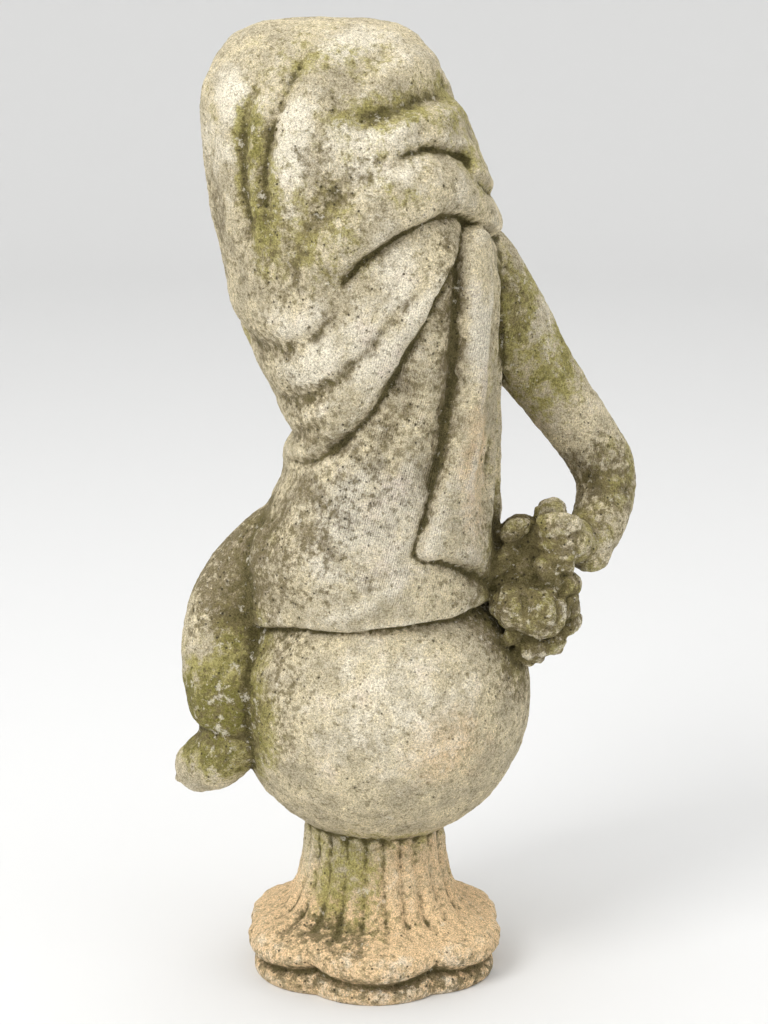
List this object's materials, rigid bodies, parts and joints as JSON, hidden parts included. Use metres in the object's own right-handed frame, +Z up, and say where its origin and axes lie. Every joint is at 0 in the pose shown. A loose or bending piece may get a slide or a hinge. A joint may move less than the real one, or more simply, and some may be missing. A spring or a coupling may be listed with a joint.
{
  "type": "garden statue of a cloaked child on a ball",
  "caption": "Cast-stone garden statue: a child under a hooded cloak sits astride a ball on a short fluted foot with a scalloped lip, one arm out and holding a hanging bunch of flowers.",
  "frame": {"origin": "centre of the foot's flat underside, on the floor", "axes": "+Z up through the foot; -Y is where the figure's back looks, which is the pictured side; +Y is where the face looks; +X is towards the arm that is held out"},
  "size_m": [0.365, 0.3063, 0.7501],
  "materials": {
    "stone": "weathered cast stone, rough and matt, with lichen and dirt in the hollows"
  },
  "bodies": {
    "root": {"statue": "stone"}
  },
  "joints": []
}
